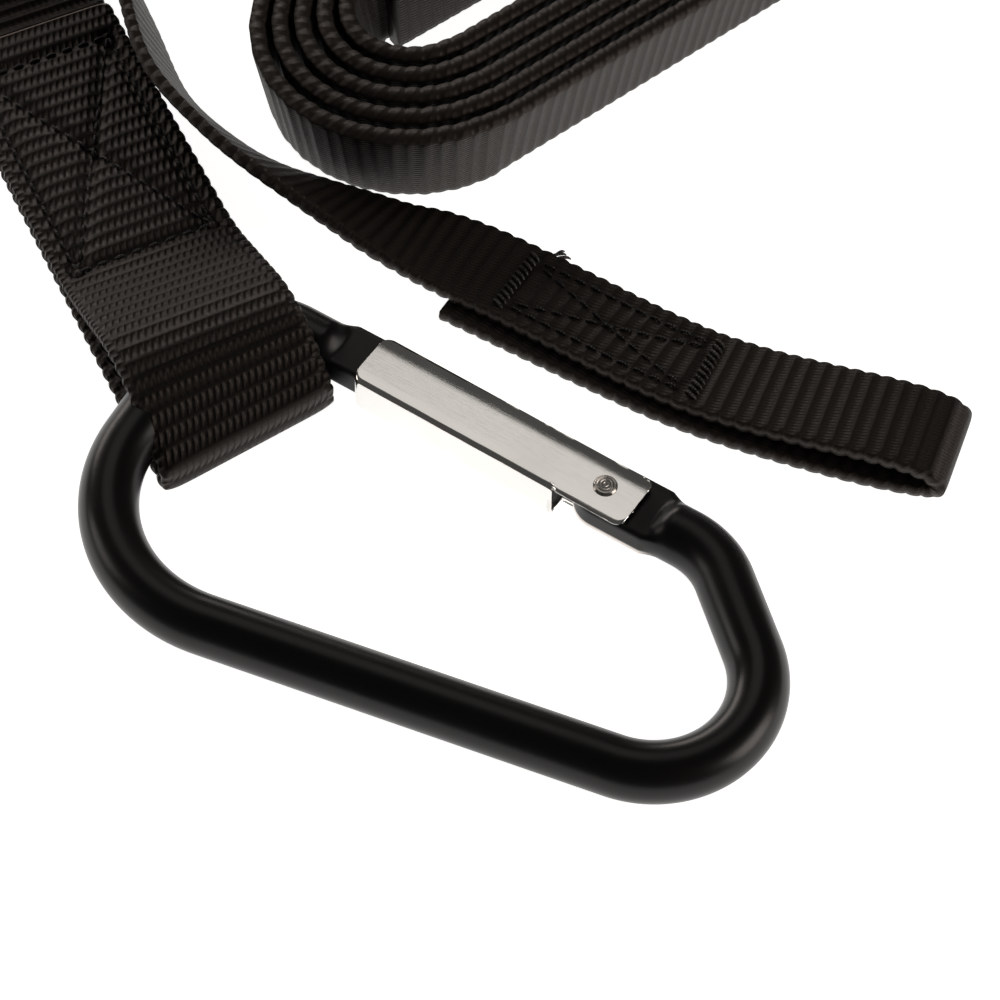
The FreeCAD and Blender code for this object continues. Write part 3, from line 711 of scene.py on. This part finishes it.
# the bar's bends (x, y, radius), and its ends along the gate's line from the rivet
BAR_BENDS = ((-50.1, 48.47, 10), (-55.2, 0, 20.5), (48.2, 0, 13.4), (23.0, 33.48, 11))
NOSE_TIP, NOSE_SHOULDER, HINGE_SHOULDER, SHOULDER_LENGTH = -30.4, -41.0, 7.4, 2.7
HINGE_ROUND = 4.25
ROD_RADIUS, TONGUE_HALF = 3.88, 2.0
TONGUE_OUTSIDE, NOSE_INSIDE, HINGE_INSIDE = 4.4, 3.0, 4.3

GATE_NOSE, GATE_HEEL, GATE_HALF, WEB_END = -36.6, 4.9, 4.2, -5.5
GATE_BEND, GATE_CORNER, GATE_WALL = 0.9, 1.3, 0.5
CHEEK_STEPS, BEND_STEPS = 20, 8


def carabiner_frame():
    """The matrix that puts the bar's own plane into the set's frame."""
    return Matrix.Translation(Vector(CARABINER_AT)) @ Matrix.Rotation(CARABINER_TILT, 4, "Y")


def gate_frame():
    """The matrix that puts gate lengths (along, across, up from the rivet) into the set's frame."""
    pivot = Vector((PIVOT_X, PIVOT_Y, 0))
    return carabiner_frame() @ Matrix.Translation(pivot) @ Matrix.Rotation(GATE_SLOPE, 4, "Z")


def carabiner_line():
    """The bar's centreline in its own plane: from the nose tongue round to the hinge tongue."""
    def on_gate(x):
        return PIVOT_X + x * math.cos(GATE_SLOPE), PIVOT_Y + x * math.sin(GATE_SLOPE), 0
    return rounded((on_gate(NOSE_TIP), *BAR_BENDS, on_gate(-HINGE_ROUND)), 0.25)


def build_carabiner(paint):
    """A round bar whose two ends are pressed flat, with soft shoulders and eased edges."""
    line = carabiner_line()
    ahead = unit(np.gradient(line, axis=0))
    outward = np.stack([ahead[:, 1], -ahead[:, 0]], 1)
    travelled = np.concatenate([[0], np.cumsum(np.linalg.norm(np.diff(line, axis=0), axis=1))])
    from_nose, from_hinge = travelled, travelled[-1] - travelled
    nose_flat = NOSE_TIP - NOSE_SHOULDER
    hinge_flat = HINGE_SHOULDER + HINGE_ROUND

    def ease(t):
        return np.sin(np.clip(t, 0, 1) * math.pi / 2)
    flat = np.maximum(1 - ease((from_nose - nose_flat) / SHOULDER_LENGTH),
                      1 - ease((from_hinge - hinge_flat) / SHOULDER_LENGTH))
    ring = 72
    angle = np.arange(ring) * 2 * math.pi / ring
    across, upward = np.cos(angle), np.sin(angle)
    place = carabiner_frame()
    vertices, weave = [], []
    for i, (x, y) in enumerate(line):
        on_nose = from_nose[i] < travelled[-1] / 2
        reach = np.where(across > 0, TONGUE_OUTSIDE, NOSE_INSIDE if on_nose else HINGE_INSIDE)
        edge_bare = (across < -0.85) & (upward < -0.24) & (not on_nose)
        if from_hinge[i] < HINGE_ROUND:
            reach = reach * math.sqrt(max(0.02, 1 - (1 - from_hinge[i] / HINGE_ROUND) ** 2))
        boxy = (np.abs(across / reach) ** 14 + np.abs(upward / TONGUE_HALF) ** 14) ** (-1 / 14)
        radius = ROD_RADIUS * (1 - flat[i]) + boxy * flat[i]
        sides = np.stack([x + outward[i, 0] * across * radius, y + outward[i, 1] * across * radius,
                          upward * radius], 1)
        vertices += [(place @ Vector(p)) * MM for p in sides]
        weave += [(float(flat[i]), float(bare * flat[i]), 0.0) for bare in edge_bare]
    count = len(line)
    faces = [(i * ring + j, i * ring + (j + 1) % ring, (i + 1) * ring + (j + 1) % ring,
              (i + 1) * ring + j) for i in range(count - 1) for j in range(ring)]
    faces.append(tuple(range(ring))[::-1])
    faces.append(tuple((count - 1) * ring + j for j in range(ring)))
    return plain_mesh("carabiner_bar", vertices, faces, weave, paint)


def gate_place():
    """The gate frame, with the gate's heel sitting a little nearer the bar's inside."""
    nose, slip = 36.0, 0.6
    about = Vector((-nose, 0, 0))
    return (gate_frame() @ Matrix.Translation(about)
            @ Matrix.Rotation(-slip / nose, 4, "Z") @ Matrix.Translation(-about))


def cheek_height(y):
    """How high the upper cheek stands: flat in the middle, rolled off towards both edges."""
    far, near = max(0.0, (y - 1.6) / 2.6), max(0.0, (-2.2 - y) / 1.2)
    return 3.15 - 0.39 * far ** 2 - 0.06 * near ** 2


def gate_section(outer, inner, open_side):
    """The gate's section (across, up): the upper cheek, the bend, and the same mirrored below.

    Past the web the bend is left open, and the lower cheek is cut back."""
    section = []
    for k in range(CHEEK_STEPS + 1):
        y = outer + (inner + GATE_BEND - outer) * k / CHEEK_STEPS
        section.append((y, cheek_height(y)))
    start = section[-1][1]
    for k in range(1, BEND_STEPS + 1):
        share = k / BEND_STEPS
        if open_side:
            y, z = inner + GATE_BEND - GATE_BEND * share, start - 0.25 * share ** 2
        else:
            a = math.pi / 2 * share
            y = inner + GATE_BEND - GATE_BEND * math.sin(a)
            z = start - GATE_BEND * (1 - math.cos(a))
        section.append((y, z))
    lower = -1.0 if open_side else -GATE_HALF
    return section + [(max(y, lower), -z) for y, z in reversed(section)]


def gate_rows():
    """Where the gate's sections stand, and whether each is past the web, on its open side."""
    round_off = GATE_CORNER * (1 - np.cos(np.linspace(0, math.pi / 2, 9)))
    stations = np.unique(np.concatenate([
        GATE_NOSE + round_off, np.linspace(GATE_NOSE + GATE_CORNER, WEB_END, 40),
        np.linspace(WEB_END, GATE_HEEL - GATE_CORNER, 12), GATE_HEEL - round_off]))
    return ([(x, False) for x in stations if x <= WEB_END]
            + [(x, True) for x in stations if x >= WEB_END])


def build_gate(paint, inside):
    """The gate's folded sheet: two crowned cheeks, rounded bends and the web."""
    rows, place = gate_rows(), gate_place()
    vertices, weave, faces, numbers = [], [], [], []
    size = 2 * (CHEEK_STEPS + BEND_STEPS + 1)
    for x, open_side in rows:
        gap = min(x - GATE_NOSE, GATE_HEEL - x)
        rest = max(0.0, GATE_CORNER - gap)
        trim = GATE_CORNER - math.sqrt(max(0.0, GATE_CORNER ** 2 - rest ** 2))
        first_open = open_side and numbers and not rows[len(numbers) - 1][1]
        mine = []
        for j, (y, z) in enumerate(gate_section(GATE_HALF - trim, -GATE_HALF + trim, open_side)):
            if first_open and j <= CHEEK_STEPS:
                mine.append(numbers[-1][j])
                continue
            mine.append(len(vertices))
            vertices.append((place @ Vector((x, y, z))) * MM)
            weave.append((x, y, 0.0))
        numbers.append(mine)
    for i, (here, after) in enumerate(zip(numbers, numbers[1:])):
        if rows[i][1] != rows[i + 1][1]:
            continue
        for j in range(size - 1):
            if rows[i][1] and j == size // 2 - 1:
                continue
            faces.append((here[j], here[j + 1], after[j + 1], after[j]))
    made = plain_mesh("gate_shell", vertices, faces, weave, paint)
    made.data.materials.append(inside)
    wall = made.modifiers.new("wall", "SOLIDIFY")
    wall.thickness = GATE_WALL * MM
    wall.offset = -1.0
    wall.material_offset = 1
    soften = made.modifiers.new("edges", "BEVEL")
    soften.width = 0.14 * MM
    soften.segments = 3
    soften.limit_method = "ANGLE"
    soften.angle_limit = math.radians(50)
    return made


def build_rivet(paint):
    """The rivet through the gate: a shank with a low domed head at each end."""
    head = ((0.05, 3.6), (0.6, 3.59), (1.1, 3.54), (1.42, 3.44), (1.58, 3.28), (1.6, 2.9), (1.1, 2.8))
    profile = head + tuple((radius, -z) for radius, z in reversed(head))
    sides = 48
    place = gate_place()
    vertices, weave, faces = [], [], []
    for radius, z in profile:
        for k in range(sides):
            a = 2 * math.pi * k / sides
            point = Vector((radius * math.cos(a), radius * math.sin(a), z))
            vertices.append((place @ point) * MM)
            weave.append((radius, 0.0, 0.0))
    for i in range(len(profile) - 1):
        for k in range(sides):
            after = (k + 1) % sides
            faces.append((i * sides + k, (i + 1) * sides + k, (i + 1) * sides + after, i * sides + after))
    faces.append(tuple(range(sides)))
    faces.append(tuple(range(len(vertices) - sides, len(vertices)))[::-1])
    return plain_mesh("rivet", vertices, faces, weave, paint)


# ---------------------------------------------------------------- everything together

def repaint(node, paint):
    """Gives a CAD node's object a material."""
    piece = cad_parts[node]
    piece.data.materials.clear()
    piece.data.materials.append(paint)


def build_all():
    """Builds the pieces, attaches each to its body and hides the CAD nodes that they replace."""
    # Each webbing's three colour levels: painted shade in the grooves, painted highlight on the crests
    # and beads, and the sealed cut end's colour.
    wide = webbing_paint("webbing_wide", SLING_RIB, 1.0, 0.0006, 0.2, (0.0006, 0.011, 0.3),
                         (1.2, 0.97, 0.86))
    narrow = webbing_paint("webbing_narrow", TIE_RIB, 0.5, 0.00012, 0.1, (0.0022, 0.013, 0.12),
                           (1.25, 0.97, 0.84))
    thread = thread_paint("thread", 0.009)
    strap, sling, sewn = build_sling(wide, thread)
    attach(sling, "straps")
    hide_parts("sling_webbing")
    strap.length() * MM
    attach(sewn, "straps")
    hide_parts("sling_box_stitch", "sling_cross_stitch", "upper_box_stitch")
    coil, tail, threads = build_tie(narrow, thread, thread_paint("tack_thread", 0.08))
    for (source, piece), nodes in ((coil, ("tie_strap_roll", "tie_strap_run")),
                                   (tail, ("tie_strap_twist", "tie_strap_end"))):
        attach(piece, "straps")
        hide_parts(*nodes)
        source.length() * MM
    for piece, node in zip(threads, ("end_bar_tacks", "end_side_stitches", "end_cross_stitch")):
        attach(piece, "straps")
        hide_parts(node)
    gate = build_gate(gate_paint(), steel_paint("gate_inside", 0.3, 0.4, 0.6))
    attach(gate, "gate")
    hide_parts("gate_sleeve")
    bar = build_carabiner(rod_paint())
    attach(bar, "carabiner")
    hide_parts("carabiner_body")
    rivet = build_rivet(rivet_paint())
    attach(rivet, "gate")
    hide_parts("gate_rivet")
    repaint("gate_spring", steel_paint("spring_steel", 0.5, 0.2, 0.35))


set_stage()
build_all()
